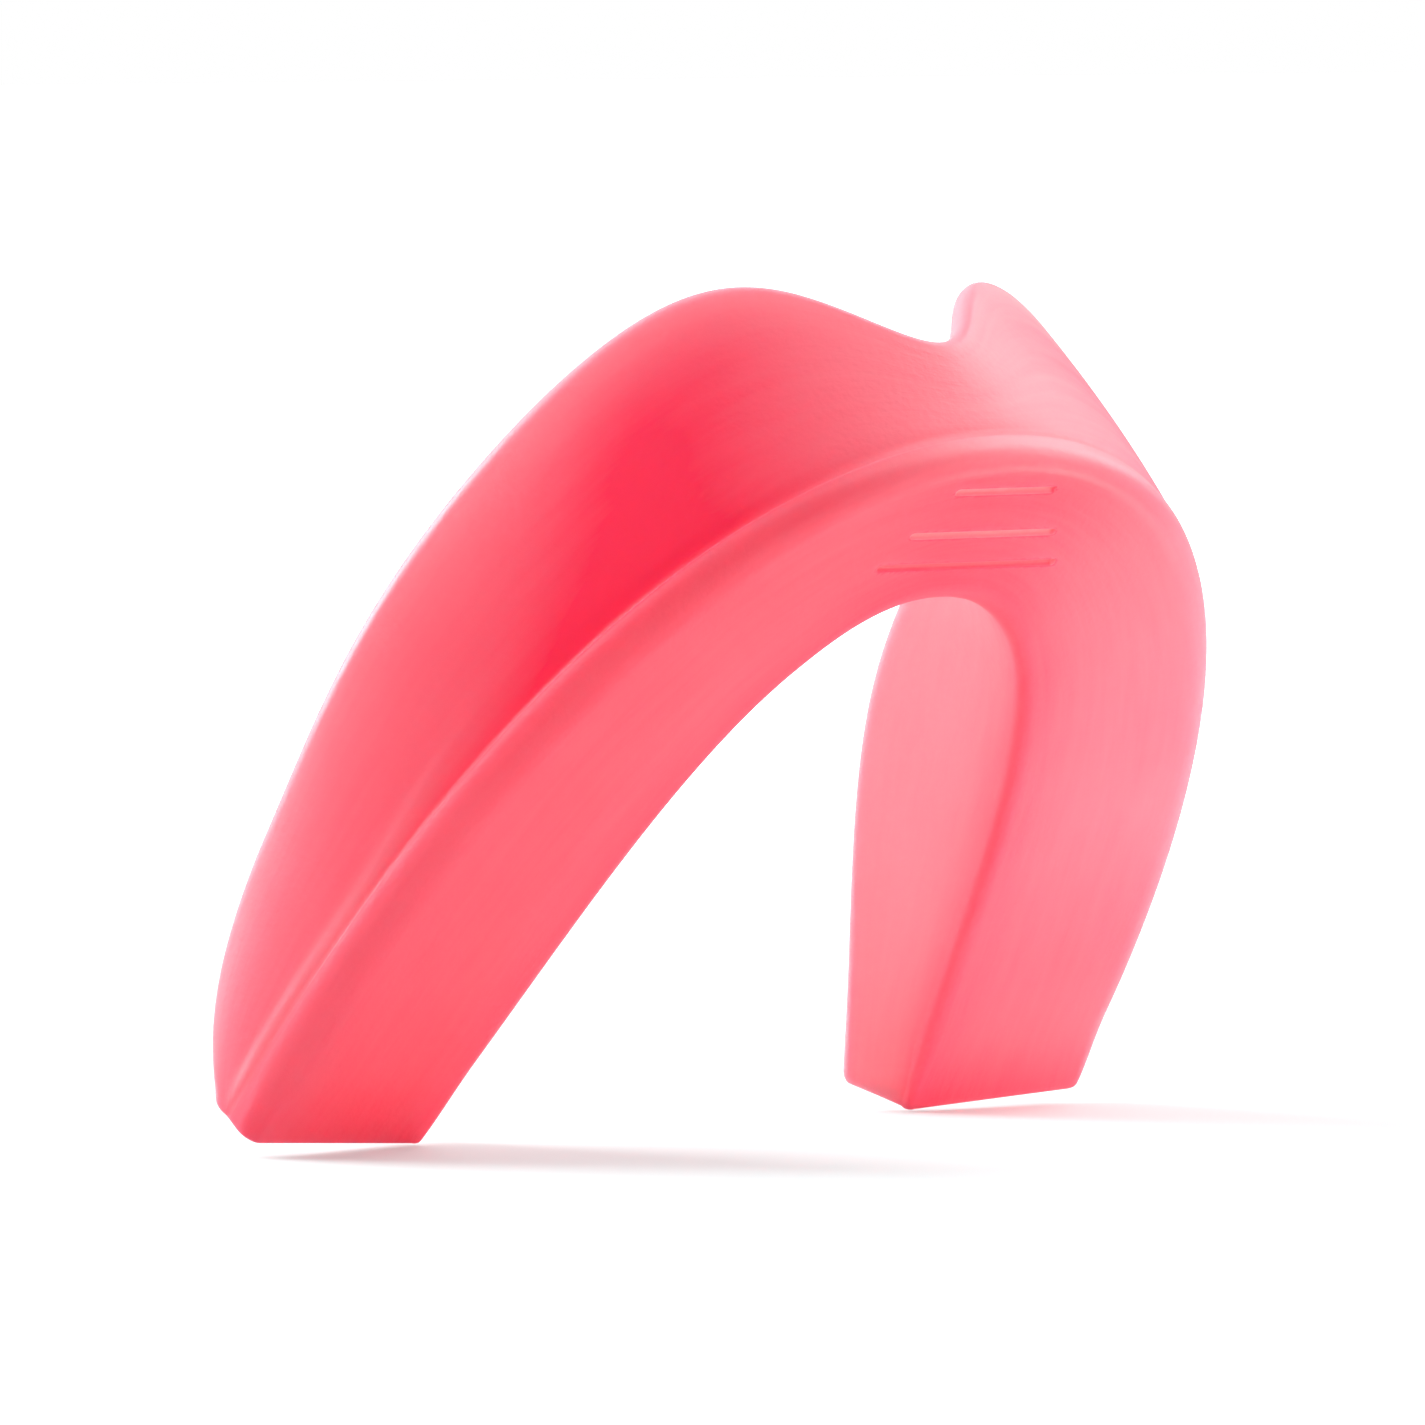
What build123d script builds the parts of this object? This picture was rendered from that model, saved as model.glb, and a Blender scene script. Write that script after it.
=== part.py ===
from build123d import *
import math
import os
import numpy as np

# One-piece mouthguard, moulded as a U-shaped tray: a flat bite plate, a tall outer
# wall for lips and cheeks, and a lower inner wall for the palate.
#
# Tray coordinates, mm: x across, u from the heels towards the front teeth, w from the
# bite face up the walls. The tray is then turned to stand on its two heels.

# ---- driving dimensions ----
LEAN = 38.1                     # the standing tray's lean towards -Y, degrees
OUTER_ARCH = ((29.1, 0.0), (29.0, 18.5), (21.8, 46.3), (0.0, 46.3))   # half, Bezier (x, u)
INNER_ARCH = ((16.9, 0.0), (13.3, 13.1), (12.2, 36.2), (0.0, 36.2))   # half, Bezier (x, u)
HEEL_CUT = 5.2                  # the heel ends slope up to the outside, degrees
PLATE = 2.6                     # bite plate thickness
PLATE_EDGE = 0.9                # rounding of the bite face's outer edge

OUTER_HEEL = 3.3                # outer wall height above the bite face, at the heel
OUTER_STEP = 6.8                # its quick rise behind the heel
OUTER_STEP_RUN = 0.105          # over this share of the arch
OUTER_RISE = 6.6                # its slow rise towards the front
OUTER_RISE_FROM = 0.24
OUTER_RISE_RUN = 0.59
NOTCH_DEPTH = 7.55              # lip-frenum notch in the front of the rim
NOTCH_HALF = 5.5                # its half width at 1/e of the depth
FLARE_HEEL = 0.1                # how far the rim leans outwards
FLARE_BELLY = 2.2
FLARE_BELLY_AT = 0.425          # most of it at this share of the arch
FLARE_BELLY_RUN = 0.205
FLARE_FRONT = 0.8
CHEEK_BULGE = 0.3               # how far the wall's outer face bows out, midway up
OUTER_ROOT = 2.6                # outer wall thickness at the plate and at the rim
OUTER_TIP = 1.9

INNER_HEEL = 4.2                # inner wall height above the bite face, at the heel
INNER_RISE = 6.65               # its extra height halfway along the arch
INNER_FRONT = 1.4               # and what the front has more than the heel
INNER_LEAN = 1.75               # how far the rim leans into the palate, fading at the front
INNER_ROOT = 2.3                # inner wall thickness at the plate and at the rim
INNER_TIP = 1.8
RIM_FULLNESS = 0.7              # a low wall's round rim takes at most this share of it

GROOVE_U = (44.2, 41.3, 39.2)   # three engraved grip grooves on the bite face's front
GROOVE_LENGTH = (6.9, 10.1, 12.3)
GROOVE_WIDTH = 0.5
GROOVE_DEPTH = 0.3

STATIONS = 12                   # wall sections per half arch
HEEL_OVERRUN = 0.07             # the walls run on past the heels by this Bezier parameter,
PLATE_OVERRUN = 3.0             # and the plate by this much, before
CUT_REACH = 40.0                # a block this far to each side
CUT_DEPTH = 10.0                # and this deep cuts both heels


def arch_point(arch, t):
    """Point (x, u) of a half arch: the cubic Bezier through its four poles."""
    poles = np.array(arch)
    weights = ((1 - t) ** 3, 3 * t * (1 - t) ** 2, 3 * t ** 2 * (1 - t), t ** 3)
    return sum(k * p for k, p in zip(weights, poles))


def arch_normal(arch, t):
    """Unit normal of the half arch in its own plane, pointing out of the U."""
    step = 1e-4
    along = arch_point(arch, t + step) - arch_point(arch, t - step)
    return np.array([along[1], -along[0]]) / np.hypot(*along)


def arch_share(arch, t):
    """Share of the half arch's length from the heel up to t, 0 to 1."""
    grid = np.linspace(0, 1, 201)
    line = np.array([arch_point(arch, g) for g in grid])
    length = np.concatenate([[0], np.cumsum(np.hypot(*np.diff(line, axis=0).T))])
    return float(np.interp(t, grid, length / length[-1]))


def smooth(s):
    """Smooth step from 0 to 1."""
    s = min(max(s, 0), 1)
    return 3 * s ** 2 - 2 * s ** 3


def outer_height(share, x):
    """Rim height of the outer wall: a quick rise, a slow rise, less the notch."""
    quick = OUTER_STEP * (1 - math.exp(-share / OUTER_STEP_RUN))
    slow = OUTER_RISE * smooth((share - OUTER_RISE_FROM) / OUTER_RISE_RUN)
    return OUTER_HEEL + quick + slow - NOTCH_DEPTH * math.exp(-((x / NOTCH_HALF) ** 2))


def outer_flare(share):
    """How far the outer rim stands outside the plate's edge."""
    belly = FLARE_BELLY * math.exp(-(((share - FLARE_BELLY_AT) / FLARE_BELLY_RUN) ** 2))
    return FLARE_HEEL + belly + FLARE_FRONT * share


def cheek_bulge(share):
    """How far the outer face bows out midway up: nothing at the heel and at the front."""
    return CHEEK_BULGE * smooth(share / 0.12) * smooth((1 - share) / 0.4)


def inner_height(share):
    """Rim height of the inner wall: highest halfway along each leg."""
    return INNER_HEEL + INNER_FRONT * share + INNER_RISE * math.sin(math.pi * share)


def wall_section(arch, t, side, height, lean, bulge, root, tip):
    """Closed section of a wall at t: foot, free face, rounded rim and channel face."""
    base = arch_point(arch, t)
    normal = arch_normal(arch, t)
    rise = min(tip / 2, RIM_FULLNESS * (height - PLATE))

    def place(offset, w):
        x, u = base + normal * side * offset
        return Vector(x, w, u)

    foot_free = place(0, PLATE)
    rim_free = place(lean, height - rise)
    rim_top = place(lean - tip / 2, height)
    rim_channel = place(lean - tip, height - rise)
    foot_channel = place(-root, PLATE)
    middle = place(lean / 2 + bulge, (PLATE + height - rise) / 2)
    return Wire([
        Spline(foot_free, middle, rim_free),
        ThreePointArc(rim_free, rim_top, rim_channel),
        Line(rim_channel, foot_channel),
        Line(foot_channel, foot_free),
    ])


def mirrored(section):
    return section.mirror(Plane.YZ)


def swept_wall(sections):
    """A wall lofted through its sections from the right heel over the front to the left."""
    left = [mirrored(s) for s in reversed(sections[:-1])]
    return Solid.make_loft(sections + left, ruled=False)


def section_steps():
    """Bezier parameters of the wall sections, from just past the heel to the front."""
    return [-HEEL_OVERRUN] + [k / STATIONS for k in range(STATIONS + 1)]


def outer_section(t):
    share = arch_share(OUTER_ARCH, max(t, 0))
    x = arch_point(OUTER_ARCH, max(t, 0))[0]
    return wall_section(OUTER_ARCH, t, 1, outer_height(share, x), outer_flare(share),
                        cheek_bulge(share), OUTER_ROOT, OUTER_TIP)


def inner_section(t):
    share = arch_share(INNER_ARCH, max(t, 0))
    lean = INNER_LEAN * (1 - share ** 3)
    return wall_section(INNER_ARCH, t, -1, inner_height(share), lean, 0,
                        INNER_ROOT, INNER_TIP)


def heel_wedge():
    """Everything behind the two sloping heel ends, as one block to cut away."""
    slope = math.tan(math.radians(HEEL_CUT))
    top = slope * (CUT_REACH - INNER_ARCH[0][0])
    middle = -slope * INNER_ARCH[0][0]
    outline = Polyline((-CUT_REACH, 0, top), (0, 0, middle), (CUT_REACH, 0, top),
                       (CUT_REACH, 0, -CUT_DEPTH), (-CUT_REACH, 0, -CUT_DEPTH), close=True)
    return extrude(make_face(outline), amount=CUT_REACH, dir=(0, 1, 0), both=True)


def past_heel(arch):
    """Where an arch's tangent at the heel gets to, the plate's overrun further back."""
    (x, u), (x_ahead, u_ahead) = arch[:2]
    return x - (x_ahead - x) * PLATE_OVERRUN / (u_ahead - u), -PLATE_OVERRUN


def plate_outline(flip):
    """Outline of one half of the plate, from front to front round the heel."""
    ends = []
    edges = []
    for arch in (OUTER_ARCH, INNER_ARCH):
        x, u = arch[0]
        x_back, u_back = past_heel(arch)
        ends.append((flip * x_back, 0, u_back))
        edges.append(Bezier(*[(flip * px, 0, pu) for px, pu in arch]))
        edges.append(Line((flip * x, 0, u), ends[-1]))
    edges.append(Line(*ends))
    return edges


def bite_plate():
    """The flat sole of the tray, with its outer edge rounded and the grooves engraved."""
    face = Face(Wire(plate_outline(1) + plate_outline(-1)))
    plate = extrude(face, amount=PLATE, dir=(0, 1, 0)) - heel_wedge()
    bite_face = plate.faces().sort_by(Axis.Y)[0]
    outer_edges = bite_face.edges().sort_by(SortBy.LENGTH)[-2:]
    plate = fillet(outer_edges, PLATE_EDGE)
    for u, length in zip(GROOVE_U, GROOVE_LENGTH):
        slot = SlotOverall(length, GROOVE_WIDTH)
        plate -= extrude(Plane((0, 0, u), x_dir=(1, 0, 0), z_dir=(0, 1, 0)) * slot, GROOVE_DEPTH)
    return plate


def main():
    os.makedirs("parts", exist_ok=True)
    wedge = heel_wedge()
    steps = section_steps()
    nodes = {
        "bite_plate": bite_plate(),
        "outer_wall": swept_wall([outer_section(t) for t in steps]) - wedge,
        "inner_wall": swept_wall([inner_section(t) for t in steps]) - wedge,
    }
    turned = {name: Rot(LEAN, 0, 0) * shape for name, shape in nodes.items()}
    boxes = [shape.bounding_box() for shape in turned.values()]
    back = max(b.max.Y for b in boxes)
    front = min(b.min.Y for b in boxes)
    centre = Pos(0, -(back + front) / 2, -min(b.min.Z for b in boxes))
    for name, shape in turned.items():
        export_step(centre * shape, f"parts/{name}.step")
    print("moved by", centre.position, "depth", back - front)


main()
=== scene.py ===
import bpy
import numpy as np
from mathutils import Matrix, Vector


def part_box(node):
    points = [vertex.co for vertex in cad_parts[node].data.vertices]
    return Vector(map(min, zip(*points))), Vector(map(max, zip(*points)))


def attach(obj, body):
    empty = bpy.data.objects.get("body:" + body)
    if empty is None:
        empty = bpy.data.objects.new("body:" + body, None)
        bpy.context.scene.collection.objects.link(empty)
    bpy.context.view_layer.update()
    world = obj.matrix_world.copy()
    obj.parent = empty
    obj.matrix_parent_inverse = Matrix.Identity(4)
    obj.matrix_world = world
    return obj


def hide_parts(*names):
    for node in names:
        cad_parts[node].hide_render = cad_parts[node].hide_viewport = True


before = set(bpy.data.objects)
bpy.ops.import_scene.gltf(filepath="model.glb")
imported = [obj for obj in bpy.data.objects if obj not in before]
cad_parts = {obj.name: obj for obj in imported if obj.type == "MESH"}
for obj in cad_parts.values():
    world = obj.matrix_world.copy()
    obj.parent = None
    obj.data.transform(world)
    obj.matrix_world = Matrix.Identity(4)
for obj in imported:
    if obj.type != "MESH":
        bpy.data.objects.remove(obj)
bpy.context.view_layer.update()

# ---------------------------------------------------------------- the moulded tray
# A boil-and-bite mouthguard is one injection moulding in soft, translucent coral EVA.
# A flat bite plate carries a tall outer wall with a notch for the lip frenum, and a
# lower inner wall for the palate. The upper teeth sit in the channel between them.

# Tray coordinates, mm: x across, u from the heels to the front teeth, w from the bite
# face up the walls. A share is a place along a half arch, 0 at the heel, 1 at the front.
MM = 0.001


def smooth(s):
    """Smooth step from 0 to 1: 3s^2 - 2s^3, held outside."""
    s = np.clip(s, 0, 1)
    return s * s * (3 - 2 * s)


def fade(share, *ends):
    """Product of smooth steps, each from 0 at its first share to 1 at its second."""
    return np.prod([smooth((share - start) / (end - start)) for start, end in ends], axis=0)


def mix(ends, s):
    """From the first value at s = 0 to the second at s = 1, in a straight line."""
    return ends[0] + (ends[1] - ends[0]) * s


def bell(s, width):
    """A bell of height 1 at s = 0: exp(-(s / width)^2)."""
    return np.exp(-(s / width) ** 2)


OUTER_ARCH = ((29.1, 0.0), (29.0, 18.5), (21.8, 46.3), (0.0, 46.3))   # half, Bezier (x, u)
INNER_ARCH = ((16.9, 0.0), (13.3, 13.1), (12.2, 36.2), (0.0, 36.2))
ARCH_STEPS = 2000                      # steps in which an arch's length is added up


def bezier(poles, t):
    """Point of a cubic Bezier at each t: the four poles by their Bernstein weights."""
    poles = np.array(poles)
    t = t[:, None]
    return ((1 - t) ** 3 * poles[0] + 3 * t * (1 - t) ** 2 * poles[1]
            + 3 * t ** 2 * (1 - t) * poles[2] + t ** 3 * poles[3])


def measured(poles):
    """Bezier parameters in fine steps, and a half arch's length up to each of them."""
    grid = np.linspace(0, 1, ARCH_STEPS + 1)
    chords = np.hypot(*np.diff(bezier(poles, grid), axis=0).T)
    return grid, np.concatenate([[0], np.cumsum(chords)])


def along_arch(poles, side, distance):
    """Points and outward normals of an arch at a distance from the heel, on the given side.

    The parameter at a distance comes from the measured length, and the normal is the
    tangent turned a quarter turn out of the U.
    """
    grid, length = measured(poles)
    t = np.interp(distance, length, grid)
    point = bezier(poles, t)
    ahead = bezier(poles, t + 1e-4) - bezier(poles, t - 1e-4)
    ahead /= np.hypot(*ahead.T)[:, None]
    normal = np.stack([ahead[:, 1], -ahead[:, 0]], -1)
    mirror = np.stack([side, np.ones_like(side)], -1)
    return point * mirror, normal * mirror


OUTER_HEEL = 3.3                       # outer wall height above the bite face, at the heel
OUTER_STEP, OUTER_STEP_RUN = 6.8, 0.105            # its quick rise behind the heel
OUTER_RISE, OUTER_RISE_FROM, OUTER_RISE_RUN = 6.6, 0.24, 0.59         # its slow rise
NOTCH_DEPTH, NOTCH_HALF = 7.55, 5.5    # lip-frenum notch, its half width at 1/e of it
FLARE_HEEL, FLARE_FRONT = 0.1, 0.8     # how far the outer rim leans outwards, and
FLARE_BELLY, FLARE_BELLY_AT, FLARE_BELLY_RUN = 2.2, 0.425, 0.205      # how much more
CHEEK_BULGE = 0.3                      # at the cheek, where the wall also bows out
INNER_HEEL, INNER_FRONT, INNER_RISE = 4.2, 1.4, 6.65         # heel, more at front, middle
INNER_LEAN = 1.75                      # how far the inner rim leans into the palate


def outer_height(share, x):
    """Rim height of the outer wall: a quick rise, a slow rise, less the notch's bell."""
    quick = OUTER_STEP * (1 - np.exp(-share / OUTER_STEP_RUN))
    slow = OUTER_RISE * smooth((share - OUTER_RISE_FROM) / OUTER_RISE_RUN)
    return OUTER_HEEL + quick + slow - NOTCH_DEPTH * bell(x, NOTCH_HALF)


def outer_flare(share):
    """How far the outer rim stands outside the plate's edge, most at the cheek."""
    belly = FLARE_BELLY * bell(share - FLARE_BELLY_AT, FLARE_BELLY_RUN)
    return FLARE_HEEL + belly + FLARE_FRONT * share


def inner_height(share):
    """Rim height of the inner wall: half a sine wave, highest halfway along each leg."""
    return INNER_HEEL + INNER_FRONT * share + INNER_RISE * np.sin(np.pi * share)


HALF_RINGS, HEEL_RINGS = 165, 6        # cross sections of a half arch and its heel edge
HEEL_EDGE = 0.50                       # rounding of the heel ends


def stations():
    """Places along the whole arch: -1 at the left heel, 0 at the front, 1 at the right heel.

    The body's rings are evenly spaced; the heel edges get rings at quarter-circle steps.
    """
    cap = HEEL_EDGE / measured(OUTER_ARCH)[1][-1]
    turn = np.linspace(0, np.pi / 2, HEEL_RINGS)
    heel = cap * (1 - np.cos(turn))
    body = np.linspace(cap, 1, HALF_RINGS)[1:]
    share = np.concatenate([heel, body])
    return np.concatenate([share - 1, (1 - share[:-1])[::-1]])


PLATE = 2.6                            # plate thickness
OUTER_ROOT, OUTER_TIP = 2.6, 1.9       # wall thickness at the plate and at the rim
INNER_ROOT, INNER_TIP = 2.3, 1.8
RIM_FULLNESS = 0.6                     # a low wall's round rim takes at most this share
FOOT, FOOT_FULLNESS = 0.9, 0.5         # rounding at a wall's foot, and the same for it
OPENING_EDGE = 0.9                     # rounding of the opening's edge,
OPENING_EDGE_HEEL, OPENING_EDGE_FRONT = -0.4, 0.7  # and what heel and front add to it
SOLE_EDGE_UP, SOLE_EDGE_IN = 1.1, 0.9  # rounding of the bite face's outer edge,
LEG_EDGE_UP, LEG_EDGE_IN = 0.5, 1.0    # and what the legs add to it
BAND_PROUD = 0.2                       # the band stands out from the wall at the front
HEEL_FADE, FRONT_FADE = (0.1, 0.0), (0.78, 0.98)   # shares where these come in, from 0 to 1
LEG_FADES = (0.0, 0.1), (1.0, 0.65)
BULGE_FADES = (0.0, 0.12), (1.0, 0.6)


class Profile:
    """The cross section's sizes at each station, as columns that run along a ring.

    The heel ends are rounded by a quarter circle: inset grows along it, and every face
    draws in by inset. The rims are half ellipses, and the feet in the channel quarters.
    """

    def __init__(self, share, outer_x, outer_run):
        into = HEEL_EDGE - np.minimum(outer_run, HEEL_EDGE)
        inset = HEEL_EDGE - np.sqrt(np.maximum(HEEL_EDGE ** 2 - into ** 2, 0))
        self.share, self.inset = share, inset
        self.high = outer_height(share, outer_x) - inset
        self.low = inner_height(share) - inset
        self.flare = outer_flare(share)
        self.lean = INNER_LEAN * (1 - share ** 3)
        self.floor = PLATE - inset
        self.out_tip = OUTER_TIP - 2 * inset
        self.in_tip = INNER_TIP - 2 * inset
        self.out_cap = np.minimum(self.out_tip / 2, RIM_FULLNESS * (self.high - self.floor))
        self.in_cap = np.minimum(self.in_tip / 2, RIM_FULLNESS * (self.low - self.floor))
        out_straight = self.high - self.out_cap - self.floor
        in_straight = self.low - self.in_cap - self.floor
        self.out_foot = np.minimum(FOOT, FOOT_FULLNESS * out_straight)
        self.in_foot = np.minimum(FOOT, FOOT_FULLNESS * in_straight)
        self.bow = CHEEK_BULGE * fade(share, *BULGE_FADES)
        self.heel = fade(share, HEEL_FADE)
        self.front = fade(share, FRONT_FADE)
        leg = fade(share, *LEG_FADES)
        self.edge = OPENING_EDGE + OPENING_EDGE_HEEL * self.heel + OPENING_EDGE_FRONT * self.front
        self.edge_up = SOLE_EDGE_UP + LEG_EDGE_UP * leg
        self.edge_in = SOLE_EDGE_IN + LEG_EDGE_IN * leg
        self.band = BAND_PROUD * self.front


class Ring:
    """Collects one cross section's stretches, each an array of stations by points.

    A point lies between the arches by blend, 0 on the inner and 1 on the outer, then
    offset along either arch's outward normal, at height w. depth is what the material's
    tint reads: the moulding's thickness there, in mm, with painted shade added on the
    opening's edge, at the heels, up the legs' band, in the crease, by the canine and in
    the channel behind it, and painted highlight and light taken off on the ridge, the
    front band, the front wall and the inner wall's free face.
    """

    def __init__(self, stations):
        self.stations = stations
        self.stretches = []

    def add(self, blend, offset_in, offset_out, w, depth):
        row = [np.asarray(a, float) for a in (blend, offset_in, offset_out, w, depth)]
        shape = np.broadcast_shapes(*[a.shape for a in row], (self.stations, 1))
        self.stretches.append([np.broadcast_to(a, shape) for a in row])

    def joined(self):
        return [np.concatenate(a, 1) for a in zip(*self.stretches)]


def steps(count, end=1.0):
    """A row of count even steps from 0 up to, but not reaching, end."""
    return end * np.linspace(0, 1, count, endpoint=False)[None, :]


BAND = 2.1                             # height of the parting line above the bite face
STEP_BELOW, STEP_RUN = 0.25, 0.7       # the band's step starts below the line and runs up
PLATE_DEPTH = 3.2                      # tint depth at the plate: its thickness,
HEEL_PAINTED_SHADE, FRONT_DEPTH, INSIDE_PAINTED_SHADE = 1.0, 1.0, 1.0        # painted shade at heels and by the opening, deeper at front
# painted shade on the opening's rounded edge
OPENING_PAINTED_SHADE = 4.0
FRONT_BAND_PAINTED_HIGHLIGHT, LEG_BAND_PAINTED_SHADE = -4.4, 0.4       # painted highlight on the front's band; painted shade up the legs' band


def add_sole(ring, p):
    """Opening edge, bite face and rounded band: quarter ellipses with a line between."""
    # the opening's rounded edge, deep with painted shade
    q = steps(8, np.pi / 2)
    ring.add(0, p.inset + p.edge * (1 - np.cos(q)), 0,
             p.inset + p.edge * (1 - np.sin(q)), OPENING_PAINTED_SHADE)
    # the bite face: painted shade at the heels and towards the opening's edge, deeper towards the
    # front
    plate = PLATE_DEPTH + HEEL_PAINTED_SHADE * p.heel + FRONT_DEPTH * p.front
    s = steps(40)
    ring.add(s, p.inset + p.edge, -p.inset - p.edge_in, p.inset,
             plate + INSIDE_PAINTED_SHADE * (1 - s) ** 6)
    # the band: a painted highlight at the front, painted shade climbing it on the legs
    q = steps(14, np.pi / 2)
    ring.add(1, 0, -p.inset - p.edge_in * (1 - np.sin(q)) + p.band * np.sin(q),
             p.inset + p.edge_up * (1 - np.cos(q)),
             plate + FRONT_BAND_PAINTED_HIGHLIGHT * p.front * np.sin(q))
    s = steps(10)
    ring.add(1, 0, -p.inset + p.band, p.inset + p.edge_up + (BAND - STEP_BELOW - p.edge_up) * s,
             plate + FRONT_BAND_PAINTED_HIGHLIGHT * p.front + LEG_BAND_PAINTED_SHADE * s * (1 - p.front))


CREASE, CREASE_UP, CREASE_WIDE = 0.06, 0.1, 0.5    # the crease just above the band,
CREASE_FADE = (0.1, 0.3)                           # deep, up and wide, off the heels
RIDGE, RIDGE_WIDE = 0.09, 0.30         # a fine ridge that climbs the cheek from the heel
RIDGE_LOW, RIDGE_CLIMB, RIDGE_FROM = 2.4, 14.7, 0.25
RIDGE_FADES = (0.0, 0.06), (0.56, 0.26)
RIDGE_PAINTED_HIGHLIGHT = -3.06                    # painted highlight along it
WALL_DEPTH, WALL_LOW_DEPTH, WALL_FRONT_PAINTED_LIGHT = 1.0, 2.1, -1.5         # rim, foot, and painted light on the front
ROOT_THICKNESS_AND_SHADE, ROOT_UP = 1.7, 1.6         # the wall's thicker root and painted shade in the crease: deep just above the band, less further up
ROOT_FADES = (0.2, 0.4), (0.92, 0.72)
CANINE_PAINTED_SHADE, CANINE_AT, CANINE_RUN = 3.1, 0.62, 0.125       # painted shade: a deep patch by the canine
CANINE_SLANT = 0.17                    # that leans forward up the wall


def add_outer_face(ring, p):
    """The cheek side: a parabola's bow on a straight flare, with a crease and a ridge.

    The band's step is a smooth step, and the crease and the ridge are bells. The points
    lie closer together near the band, and the tint turns thin close to the rim.
    """
    line = p.inset + BAND
    top = p.high - p.out_cap
    w = line - STEP_BELOW + (top - line + STEP_BELOW) * steps(56) ** 1.3
    rise = np.clip((w - line) / (top - line), 0, 1)
    step_in = p.band * (1 - smooth((w - line + STEP_BELOW) / STEP_RUN))
    crease = bell(w - line - CREASE_UP, CREASE_WIDE) * fade(p.share, CREASE_FADE)
    ridge_at = p.inset + RIDGE_LOW + RIDGE_CLIMB * np.maximum(p.share - RIDGE_FROM, 0) ** 1.5
    ridge = bell(w - ridge_at, RIDGE_WIDE) * fade(p.share, *RIDGE_FADES)
    offset = -p.inset + p.flare * rise + 4 * p.bow * rise * (1 - rise)

    # painted shade in the crease and by the canine, painted light on the front wall and a painted
    # highlight on the ridge; the root is also thicker
    root = np.exp(-(w - line) / ROOT_UP) * fade(p.share, *ROOT_FADES)
    canine = bell(p.share - CANINE_AT - CANINE_SLANT * rise, CANINE_RUN)
    wall = WALL_LOW_DEPTH + WALL_FRONT_PAINTED_LIGHT * p.front + CANINE_PAINTED_SHADE * canine
    depth = WALL_DEPTH + wall * (1 - rise ** 5) + ROOT_THICKNESS_AND_SHADE * root + RIDGE_PAINTED_HIGHLIGHT * ridge
    ring.add(1, 0, offset + step_in - CREASE * crease + RIDGE * ridge, w, depth)


OUTER_RIM_DEPTH, INNER_RIM_DEPTH = 0.7, 0.5
OUTER_BACK_DEPTH, INNER_BACK_DEPTH = (1.5, 3.1), (2.0, 1.3)  # channel sides, in ring order
SOCKET_PAINTED_SHADE, SOCKET_AT, SOCKET_RUN = 3.2, 0.72, 0.12        # painted shade: a deep patch in the channel
FOOT_DEPTH = 3.8
INNER_FREE_PAINTED_LIGHT = (0.4, 2.0)          # painted light, palest at the rim, from the inner rim to the opening


def add_outer_wall(ring, p):
    """The outer rim, the channel side of its wall and the rounded foot."""
    add_outer_face(ring, p)
    q = steps(16, np.pi)
    ring.add(1, 0, p.flare - p.inset - p.out_tip / 2 * (1 - np.cos(q)),
             p.high - p.out_cap + p.out_cap * np.sin(q), OUTER_RIM_DEPTH)
    s = steps(22)
    top, foot = p.flare - p.inset - p.out_tip, p.inset - OUTER_ROOT
    # painted shade deep in the channel, behind the canine
    socket = SOCKET_PAINTED_SHADE * bell(p.share - SOCKET_AT, SOCKET_RUN)
    ring.add(1, 0, top + (foot - top) * s,
             p.high - p.out_cap + (p.floor + p.out_foot - p.high + p.out_cap) * s,
             mix(OUTER_BACK_DEPTH, s) + socket * s)
    q = steps(6, np.pi / 2)
    ring.add(1, 0, foot - p.out_foot * (1 - np.cos(q)),
             p.floor + p.out_foot * (1 - np.sin(q)), FOOT_DEPTH)


def add_inner_wall(ring, p):
    """The channel floor, then the inner wall: its foot, channel side, rim and free face."""
    foot, top = INNER_ROOT - p.inset, p.inset + p.in_tip - p.lean
    ring.add(1 - steps(12), foot + p.in_foot, p.inset - OUTER_ROOT - p.out_foot, p.floor,
             PLATE_DEPTH)
    q = steps(6, np.pi / 2)
    ring.add(0, foot + p.in_foot * (1 - np.sin(q)), 0,
             p.floor + p.in_foot * (1 - np.cos(q)), FOOT_DEPTH)
    s = steps(18)
    ring.add(0, foot + (top - foot) * s, 0,
             p.floor + p.in_foot + (p.low - p.in_cap - p.floor - p.in_foot) * s,
             mix(INNER_BACK_DEPTH, s))
    q = steps(14, np.pi)
    ring.add(0, top - p.in_tip / 2 * (1 - np.cos(q)), 0,
             p.low - p.in_cap + p.in_cap * np.sin(q), INNER_RIM_DEPTH)
    # the free face, with painted light that is palest at the rim
    s = steps(26)
    ring.add(0, p.inset - p.lean * (1 - s), 0,
             p.low - p.in_cap + (p.inset + p.edge - p.low + p.in_cap) * s,
             mix(INNER_FREE_PAINTED_LIGHT, s ** 4))


HEEL_CUT = np.radians(5.2)             # the heel ends slope up to the outside
HEEL_CUT_REACH = 0.12                  # share over which the slope fades
HEEL_DROP = 0.32                       # how much longer the sloped ends are, to touch down
THINNEST = 0.1                         # no moulded point has less depth than this
DEPTH_BLENDS = 22                      # passes that soften the tint round a ring


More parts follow.
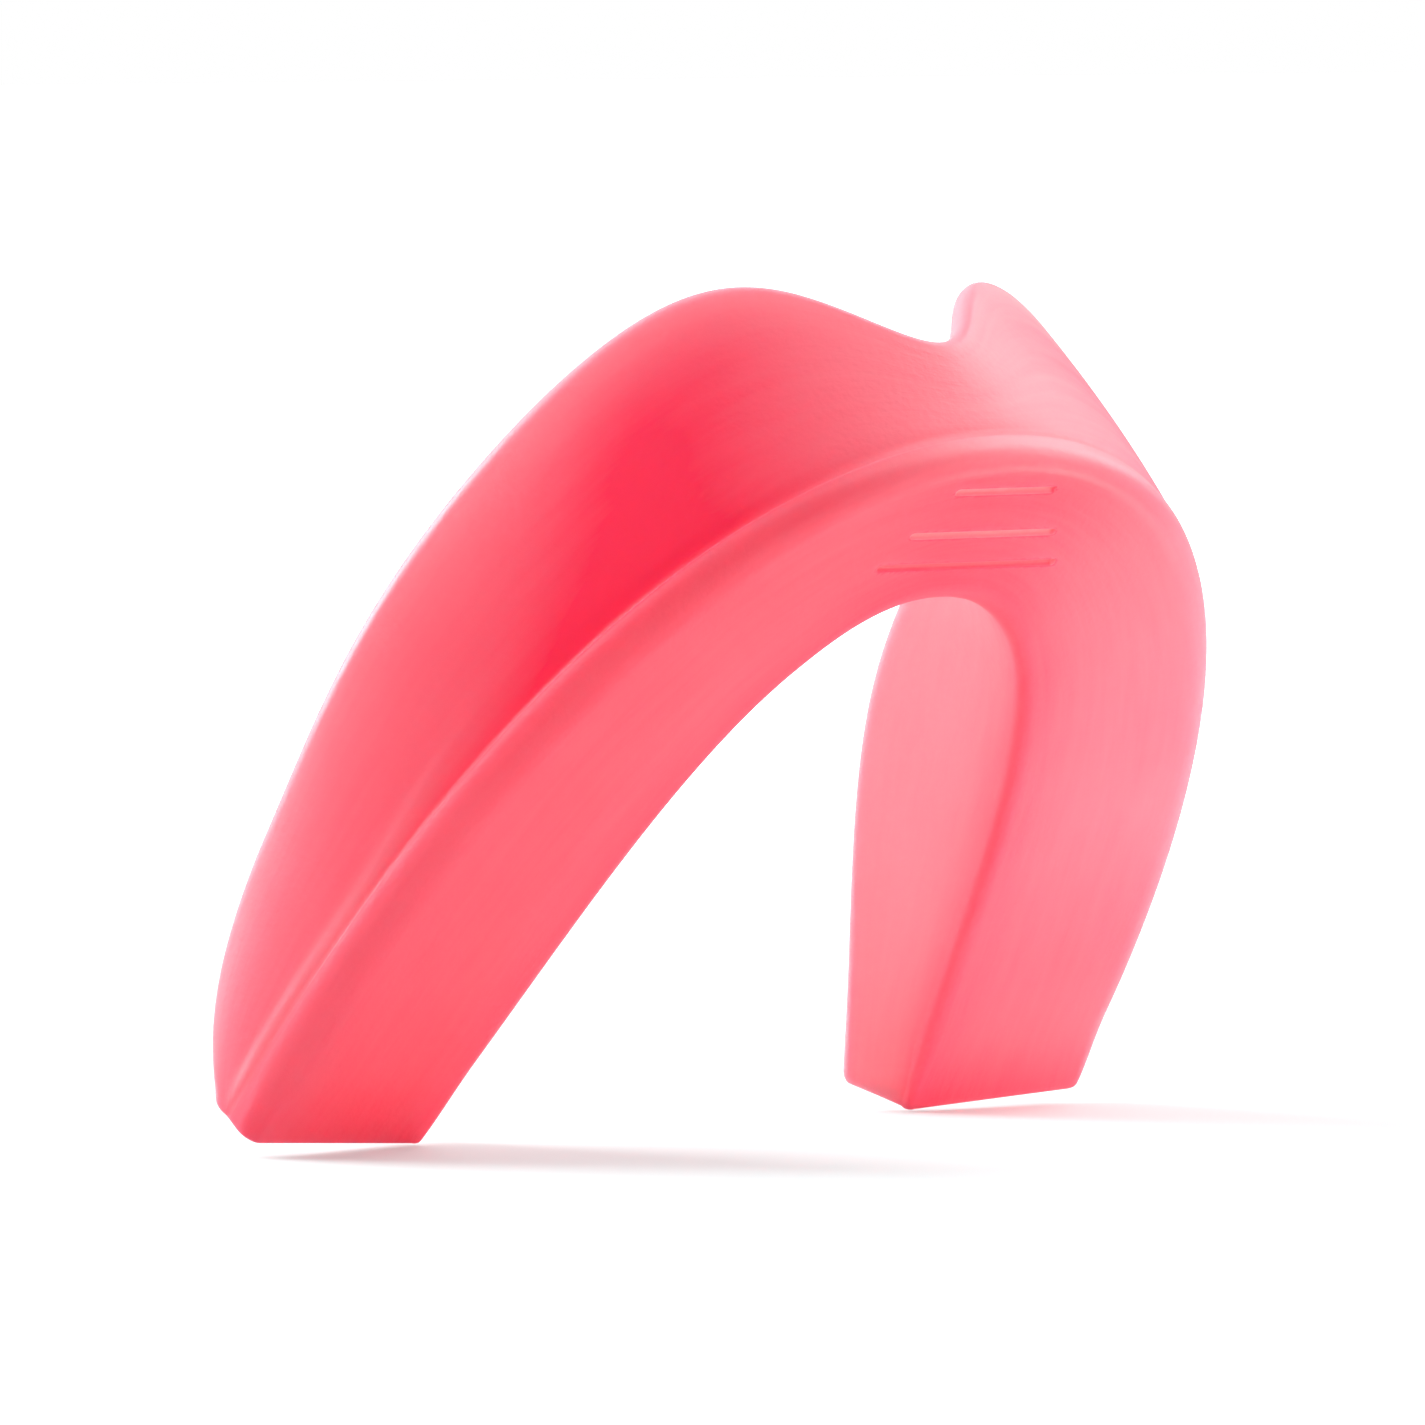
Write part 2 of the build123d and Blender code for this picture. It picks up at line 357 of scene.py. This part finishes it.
def tray_grid(signed):
    """The tray as rings of points: x across, u to the front, w up the walls, in mm.

    Every ring runs round one cross section, from the opening's edge over the bite face,
    the outer wall and the channel to the inner wall. A quartic added to the inner run
    gives it the outer run's spacing at the heels, so that the heel ends stay square.
    """
    share = 1 - np.abs(signed)
    side = np.where(signed < 0, -1.0, 1.0)
    outer_length, inner_length = measured(OUTER_ARCH)[1][-1], measured(INNER_ARCH)[1][-1]
    outer_run = outer_length * share
    inner_run = inner_length * share + (outer_length - inner_length) * share * (1 - share) ** 3
    outer, outer_out = along_arch(OUTER_ARCH, side, outer_run)
    inner, inner_out = along_arch(INNER_ARCH, side, inner_run)

    share = share[:, None]
    p = Profile(share, outer[:, :1], outer_run[:, None])
    ring = Ring(len(share))
    add_sole(ring, p)
    add_outer_wall(ring, p)
    add_inner_wall(ring, p)
    blend, offset_in, offset_out, w, depth = ring.joined()
    at_inner = inner[:, None] + inner_out[:, None] * offset_in[..., None]
    at_outer = outer[:, None] + outer_out[:, None] * offset_out[..., None]
    xu = (1 - blend)[..., None] * at_inner + blend[..., None] * at_outer
    x, u = xu[..., 0], xu[..., 1]
    slope = np.tan(HEEL_CUT) * (np.abs(x) - INNER_ARCH[0][0])
    u = u + (slope - HEEL_DROP) * (1 - np.minimum(share / HEEL_CUT_REACH, 1)) ** 2
    for _ in range(DEPTH_BLENDS):
        depth = (np.roll(depth, 1, 1) + 2 * depth + np.roll(depth, -1, 1)) / 4
    return x, u, w, np.maximum(depth, THINNEST)


LEAN = np.radians(38.1)                # the tray stands on its heels and leans forward


def stand_up(x, u, w):
    """Tray coordinates in mm to the shared frame in metres, turned by the lean."""
    heel_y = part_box("bite_plate")[1][1] / MM - PLATE * np.cos(LEAN)
    y = heel_y - u * np.sin(LEAN) + w * np.cos(LEAN)
    z = u * np.cos(LEAN) + w * np.sin(LEAN)
    return np.stack([x, y, z], -1) * MM


def closed_tube(name, points, depth):
    """A mesh from rings of points, closed round each ring and by a flat face at both ends.

    The UV map holds the distance along the tray and round the ring, in mm, so that a
    pattern can follow the moulding.
    """
    rings, around = points.shape[:2]
    i, j = np.meshgrid(np.arange(rings - 1), np.arange(around), indexing="ij")
    corners = ((0, 0), (1, 0), (1, 1), (0, 1))          # of a quad, in rings and round it
    quads = np.stack([(i + di) * around + (j + dj) % around for di, dj in corners], -1)
    faces = quads.reshape(-1, 4).tolist()
    faces.append(list(range(around)))
    faces.append(list(range((rings - 1) * around, rings * around))[::-1])
    mesh = bpy.data.meshes.new(name)
    mesh.from_pydata(points.reshape(-1, 3), [], faces)
    mesh.attributes.new("depth", "FLOAT", "POINT").data.foreach_set("value", depth.ravel())

    ahead = np.linalg.norm(np.diff(points, axis=0), axis=2).mean(1)
    round_it = np.linalg.norm(np.roll(points, -1, 1) - points, axis=2).mean(0)
    along = np.concatenate([[0], np.cumsum(ahead)])
    across = np.concatenate([[0], np.cumsum(round_it)])
    quad_uv = np.stack([np.stack([along[i + di], across[j + dj]], -1) for di, dj in corners], 2)
    uv = np.zeros((len(mesh.loops), 2))
    uv[:quad_uv.size // 2] = quad_uv.reshape(-1, 2) / MM
    mesh.uv_layers.new(name="along_tray").data.foreach_set("uv", uv.ravel())
    mesh.shade_smooth()
    mesh.update()
    piece = bpy.data.objects.new(name, mesh)
    bpy.context.scene.collection.objects.link(piece)
    return piece


x, u, w, depth = tray_grid(stations())
tray = closed_tube("mouthguard_tray", stand_up(x, u, w), depth)

# Three grip grooves pressed into the front of the bite face, each a round-ended bar cut.
GROOVES = (44.2, 6.9), (41.3, 10.1), (39.2, 12.3)       # place u and length
GROOVE_RADIUS = 0.25
GROOVE_SINK = 0.04                     # the bar's axis lies this far outside the bite face
GROOVE_PAINTED_SHADE = 5.0                     # painted shade: the tint made deep on their edges, and on the bar
BAR_PAINTED_SHADE = 5.5
CREASE_ANGLE = np.radians(50)          # sharper edges than this aren't shaded smooth


def capsule(length, radius, sides=20, rings=6):
    """Points of a round-ended bar along x: a circle carried past two quarter-circle ends."""
    turn = np.linspace(0, np.pi / 2, rings)
    end = length / 2 - radius
    x = np.concatenate([-end - radius * np.cos(turn), end + radius * np.cos(turn[::-1])])
    r = radius * np.concatenate([np.sin(turn), np.sin(turn[::-1])])
    r = np.maximum(r, radius * 0.05)                    # the very ends stay open rings
    a = np.linspace(0, 2 * np.pi, sides, endpoint=False)
    return x[:, None] + 0 * a, r[:, None] * np.cos(a), r[:, None] * np.sin(a)


for groove_u, length in GROOVES:
    x, u, w = capsule(length, GROOVE_RADIUS)
    bar = closed_tube("groove_bar", stand_up(x, u + groove_u, w - GROOVE_SINK),
                      BAR_PAINTED_SHADE + 0 * x)
    cut = tray.modifiers.new("groove", "BOOLEAN")
    cut.operation = "DIFFERENCE"
    cut.object = bar
    bpy.context.view_layer.objects.active = tray
    bpy.ops.object.modifier_apply(modifier="groove")
    bpy.data.objects.remove(bar)
held = tray.data.attributes["depth"].data
values = np.zeros(len(held))
held.foreach_get("value", values)
values[values < THINNEST / 2] = GROOVE_PAINTED_SHADE            # the cut's new points hold nothing; they get the grooves' painted shade
held.foreach_set("value", values)
tray.data.set_sharp_from_angle(angle=CREASE_ANGLE)


def add_node(tree, kind, inputs=(), **settings):
    """A shader node with its settings. Each input is a value, or a socket to link from."""
    made = tree.nodes.new("ShaderNode" + kind)
    for name, value in settings.items():
        setattr(made, name, value)
    for socket, source in dict(inputs).items():
        if isinstance(source, bpy.types.NodeSocket):
            tree.links.new(source, made.inputs[socket])
        else:
            made.inputs[socket].default_value = source
    return made


def map_range(tree, value, old, new, ease="LINEAR"):
    """The value carried from the old range to the new one, and held at their ends."""
    made = add_node(tree, "MapRange", {
        "Value": value, "From Min": old[0], "From Max": old[1],
        "To Min": new[0], "To Max": new[1]}, interpolation_type=ease)
    return made.outputs["Result"]


def translucent_eva():
    """Coral EVA: pale where thin, deep where thick, with faint flow streaks and specks.

    The tint runs over the depth attribute, thickness with painted shade and painted
    highlight, made uneven by streaks along the tray and by clouds. A fine grain,
    stronger in the streaks, gives the skin its bump.
    """
    eva = bpy.data.materials.new("coral_eva")
    eva.use_nodes = True
    tree = eva.node_tree
    shader = tree.nodes["Principled BSDF"]

    thickness = add_node(tree, "Attribute", attribute_name="depth").outputs["Fac"]
    follow = add_node(tree, "UVMap", uv_map="along_tray").outputs["UV"]
    drawn_out = add_node(tree, "Mapping", {"Vector": follow, "Scale": (0.12, 1.4, 1.0)})
    flow = add_node(tree, "TexNoise", {
        "Vector": drawn_out.outputs["Vector"], "Scale": 1.0, "Detail": 5.0,
        "Roughness": 0.6}).outputs["Fac"]
    place = add_node(tree, "TexCoord").outputs["Object"]
    cloud = add_node(tree, "TexNoise", {
        "Vector": place, "Scale": 90.0, "Detail": 3.0}).outputs["Fac"]
    sway = add_node(tree, "Math", {0: flow, 1: cloud}, operation="ADD").outputs[0]
    uneven = map_range(tree, sway, (0.6, 1.4), (-0.4, 0.4))
    deep = add_node(tree, "Math", {0: thickness, 1: uneven}, operation="ADD").outputs[0]
    tint = add_node(tree, "ValToRGB", {"Fac": map_range(tree, deep, (0.0, 6.0), (0.0, 1.0))})
    thin, thick = tint.color_ramp.elements
    thin.color = (1.0, 0.32, 0.385, 1)
    thick.color = (1.0, 0.004, 0.092, 1)
    tree.links.new(tint.outputs["Color"], shader.inputs["Base Color"])

    satin = map_range(tree, flow, (0.0, 1.0), (0.36, 0.52))
    tree.links.new(satin, shader.inputs["Roughness"])
    grain = add_node(tree, "TexNoise", {
        "Vector": place, "Scale": 2500.0, "Detail": 2.0}).outputs["Fac"]
    skin = add_node(tree, "Math", {0: flow, 1: grain}, operation="MULTIPLY").outputs[0]
    bump = add_node(tree, "Bump", {"Height": skin, "Strength": 0.2, "Distance": 0.0002})
    tree.links.new(bump.outputs["Normal"], shader.inputs["Normal"])

    shader.inputs["IOR"].default_value = 1.47
    shader.inputs["Transmission Weight"].default_value = 0.3
    shader.inputs["Subsurface Weight"].default_value = 1.0
    shader.inputs["Subsurface Radius"].default_value = (1.0, 0.35, 0.4)
    shader.inputs["Subsurface Scale"].default_value = 0.004
    shader.inputs["Subsurface Anisotropy"].default_value = 0.3
    return eva


tray.data.materials.append(translucent_eva())
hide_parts("bite_plate", "outer_wall", "inner_wall")
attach(tray, "root")

# ---------------------------------------------------------------- the floor and the light
# A plain white studio table that glows a little, so that only the contact shadows show,
# under a white room that is dimmer on the viewer's side, with two softboxes and a small
# warm fill close to the right heel, which lights the tray only.
FLOOR_HALF = 4.0                       # metres
FLOOR_ROUGHNESS = 0.9
FLOOR_BOUNCE, FLOOR_SEEN = (0.50, 0.50, 0.50, 1), (0.46, 0.57, 0.57, 1)    # the grey it bounces, and a cyan grey seen by the camera that paints out the tray's pink light in its shadows
GLOW_REACH, GLOW = (0.06, 0.40), (0.16, 0.85)      # metres from the tray, strength there
GLOW_BASE = 0.12
ROOM_DIM_SIDE = (-0.70, -0.66, 0.28)   # the viewer's side
ROOM_TURN, ROOM_LIGHT = (0.1, 0.95), (1.08, 0.45)  # how far towards it, brightness there
ROOM_SEEN = 1.0


def studio_floor():
    """A white square at z = 0 whose glow, seen by the camera only, grows away from the tray."""
    mesh = bpy.data.meshes.new("floor")
    square = np.array([(-1, -1, 0), (1, -1, 0), (1, 1, 0), (-1, 1, 0)]) * FLOOR_HALF
    mesh.from_pydata(square, [], [(0, 1, 2, 3)])
    white = bpy.data.materials.new("floor_white")
    white.use_nodes = True
    tree = white.node_tree
    shader = tree.nodes["Principled BSDF"]
    shader.inputs["Roughness"].default_value = FLOOR_ROUGHNESS
    shader.inputs["Emission Color"].default_value = (1, 1, 1, 1)
    seen = add_node(tree, "LightPath").outputs["Is Camera Ray"]
    spot = add_node(tree, "TexCoord").outputs["Object"]
    far = add_node(tree, "VectorMath", {0: spot}, operation="LENGTH").outputs["Value"]
    away = map_range(tree, far, GLOW_REACH, GLOW, "SMOOTHSTEP")
    glow = add_node(tree, "Math", {0: seen, 1: away, 2: GLOW_BASE}, operation="MULTIPLY_ADD")
    # the camera sees the cyan grey, which paints the tray's pink light out of its shadows
    paint = add_node(tree, "Mix", {"Factor": seen, "A": FLOOR_BOUNCE, "B": FLOOR_SEEN},
                     data_type="RGBA")
    tree.links.new(paint.outputs["Result"], shader.inputs["Base Color"])
    tree.links.new(glow.outputs[0], shader.inputs["Emission Strength"])
    mesh.materials.append(white)
    table = bpy.data.objects.new("floor", mesh)
    bpy.context.scene.collection.objects.link(table)
    return table


def studio_room():
    """A white world, dimmer towards one side by a smooth step, and plain to the camera."""
    world = bpy.data.worlds.new("studio")
    world.use_nodes = True
    tree = world.node_tree
    light = tree.nodes["Background"]
    light.inputs["Color"].default_value = (1, 1, 1, 1)
    direction = add_node(tree, "TexCoord").outputs["Generated"]
    towards = add_node(tree, "VectorMath", {0: direction, 1: ROOM_DIM_SIDE},
                       operation="DOT_PRODUCT").outputs["Value"]
    lit = map_range(tree, towards, ROOM_TURN, ROOM_LIGHT, "SMOOTHSTEP")
    seen = add_node(tree, "LightPath").outputs["Is Camera Ray"]
    pick = add_node(tree, "Mix", {"Factor": seen, "A": lit, "B": ROOM_SEEN})
    tree.links.new(pick.outputs["Result"], light.inputs["Strength"])
    return world


def softbox(name, place, aim, size, power):
    """A square white area light at place, in metres, turned to face the aim point."""
    light = bpy.data.lights.new(name, "AREA")
    light.size = size
    light.energy = power
    lamp = bpy.data.objects.new(name, light)
    bpy.context.scene.collection.objects.link(lamp)
    lamp.location = place
    lamp.rotation_euler = (Vector(place) - Vector(aim)).to_track_quat("Z", "Y").to_euler()
    return lamp


floor = studio_floor()
bpy.context.scene.world = studio_room()
middle = (0, 0, 0.02)
softbox("key_box", (-0.38, 0.70, 0.48), middle, 0.65, 14.0)
softbox("right_box", (0.62, -0.02, 0.50), middle, 0.60, 3.9)
fill = softbox("right_fill", (0.036, -0.036, 0.008), (0.023, 0.0, 0.004), 0.014, 0.034)
fill.data.color = (1.0, 0.93, 0.76)
fill.visible_glossy = False
tray_only = bpy.data.collections.new("lit_by_fill")
tray_only.objects.link(tray)
fill.light_linking.receiver_collection = tray_only
bpy.context.scene.view_settings.view_transform = "Standard"

# ---------------------------------------------------------------- the camera
# A long lens close to the floor, from the front left of the standing tray, aimed near
# its middle.
AIM = Vector((-0.0053, 0.0024, 0.0228))
AZIMUTH, ELEVATION, DISTANCE = np.radians(-40.18), np.radians(3.05), 0.7808
towards = Vector((np.sin(AZIMUTH) * np.cos(ELEVATION), -np.cos(AZIMUTH) * np.cos(ELEVATION),
                  np.sin(ELEVATION)))
camera_data = bpy.data.cameras.new("camera")
camera_data.sensor_width = 36.0
camera_data.lens = 375.8
camera_data.clip_end = 50.0
camera = bpy.data.objects.new("camera", camera_data)
bpy.context.scene.collection.objects.link(camera)
camera.location = AIM + towards * DISTANCE
camera.rotation_euler = towards.to_track_quat("Z", "Y").to_euler()
bpy.context.scene.camera = camera
